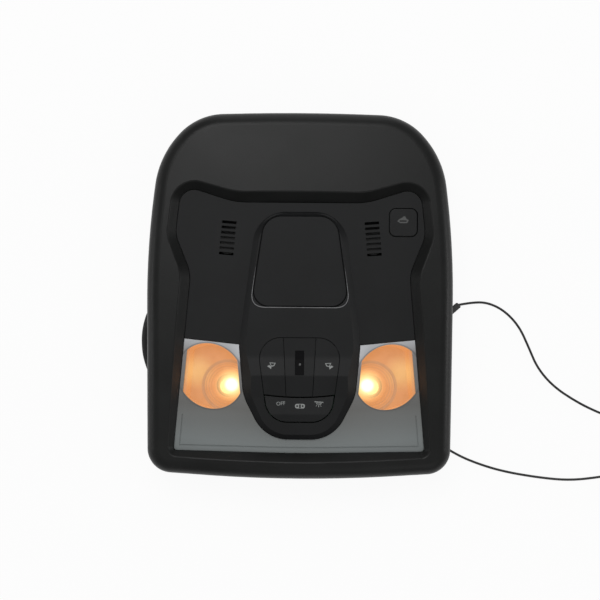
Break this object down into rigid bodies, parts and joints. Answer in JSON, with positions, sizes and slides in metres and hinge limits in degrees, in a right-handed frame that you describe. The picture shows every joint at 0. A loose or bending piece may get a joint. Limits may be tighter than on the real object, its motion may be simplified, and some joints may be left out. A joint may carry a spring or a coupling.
{
  "type": "car dome light",
  "caption": "Roof-console dome light for a car interior: domed bezel, recessed panel, frosted lens with lit lamps, push keys, rocker, roof button and wires.",
  "frame": {"origin": "on the flat back of the rear cover, in the plane that the two halves mirror about", "axes": "+Z out of the face, +Y towards the windscreen end, +X to the right of the face"},
  "size_m": [0.3383, 0.2693, 0.0448],
  "materials": {
    "black_plastic": "fine grain",
    "key_plastic": "fine grain",
    "lens_plastic": "frosted, with clear windows",
    "window_plastic": "gloss",
    "reflector_plastic": "satin",
    "bulb_glass": "clear",
    "holder_plastic": "satin",
    "housing_plastic": "satin",
    "board": "satin",
    "switch_body": "satin",
    "led": "gloss",
    "soft_rubber": "matte",
    "microphone_can": "satin",
    "screw_steel": "zinc plated",
    "spring_steel": "oiled",
    "harness_tape": "cloth tape",
    "wire": "satin insulation",
    "tie": "satin",
    "terminal": "satin"
  },
  "bodies": {
    "console": {"bezel": "black_plastic", "face_panel": "black_plastic", "blank_cover": "black_plastic", "centre_plate": "black_plastic", "lens": "lens_plastic", "sensor_window": "window_plastic", "left_reflector": "reflector_plastic", "right_reflector": "reflector_plastic", "left_bulb": "bulb_glass", "right_bulb": "bulb_glass", "left_bulb_holder": "holder_plastic", "right_bulb_holder": "holder_plastic", "lead_plug": "holder_plastic", "header": "holder_plastic", "mode_switch": "holder_plastic", "lamp_housing": "housing_plastic", "rear_cover": "housing_plastic", "key_carrier": "housing_plastic", "circuit_board": "board", "roof_board": "board", "left_switch": "switch_body", "right_switch": "switch_body", "roof_switch": "switch_body", "sensor_led": "led", "left_mic_boot": "soft_rubber", "right_mic_boot": "soft_rubber", "harness_grommets": "soft_rubber", "lower_grommet": "soft_rubber", "left_microphone": "microphone_can", "right_microphone": "microphone_can", "housing_screws": "screw_steel", "cover_screws": "screw_steel", "roof_clips": "spring_steel", "harness": "harness_tape", "upper_lead": "wire", "lower_lead": "wire", "upper_coil": "wire", "lower_coil": "wire", "upper_tail": "wire", "lower_tail": "wire", "upper_tie": "tie", "lower_tie": "tie", "upper_terminal": "terminal", "lower_terminal": "terminal"},
    "left_key": {"left_key": "key_plastic"},
    "right_key": {"right_key": "key_plastic"},
    "rocker": {"mode_rocker": "key_plastic"},
    "button": {"roof_button": "key_plastic"}
  },
  "joints": [
    {"name": "left_key_press", "type": "hinge", "parent": "console", "child": "left_key", "pos_m": [0, -0.033, 0.0345], "axis": [1, 0, 0], "range_deg": [0, 2.2], "stiffness_Nm_per_rad": 0.6, "springref_deg": -2.86},
    {"name": "right_key_press", "type": "hinge", "parent": "console", "child": "right_key", "pos_m": [0, -0.033, 0.0345], "axis": [1, 0, 0], "range_deg": [0, 2.2], "stiffness_Nm_per_rad": 0.6, "springref_deg": -2.86},
    {"name": "mode_rocker_tilt", "type": "hinge", "parent": "console", "child": "rocker", "pos_m": [0, -0.0741, 0.0345], "axis": [0, 1, 0], "range_deg": [-4, 4]},
    {"name": "roof_button_press", "type": "slide", "parent": "console", "child": "button", "axis": [0, 0, -1], "range_m": [0, 0.0015], "stiffness_N_per_m": 400, "springref_m": -0.001}
  ]
}
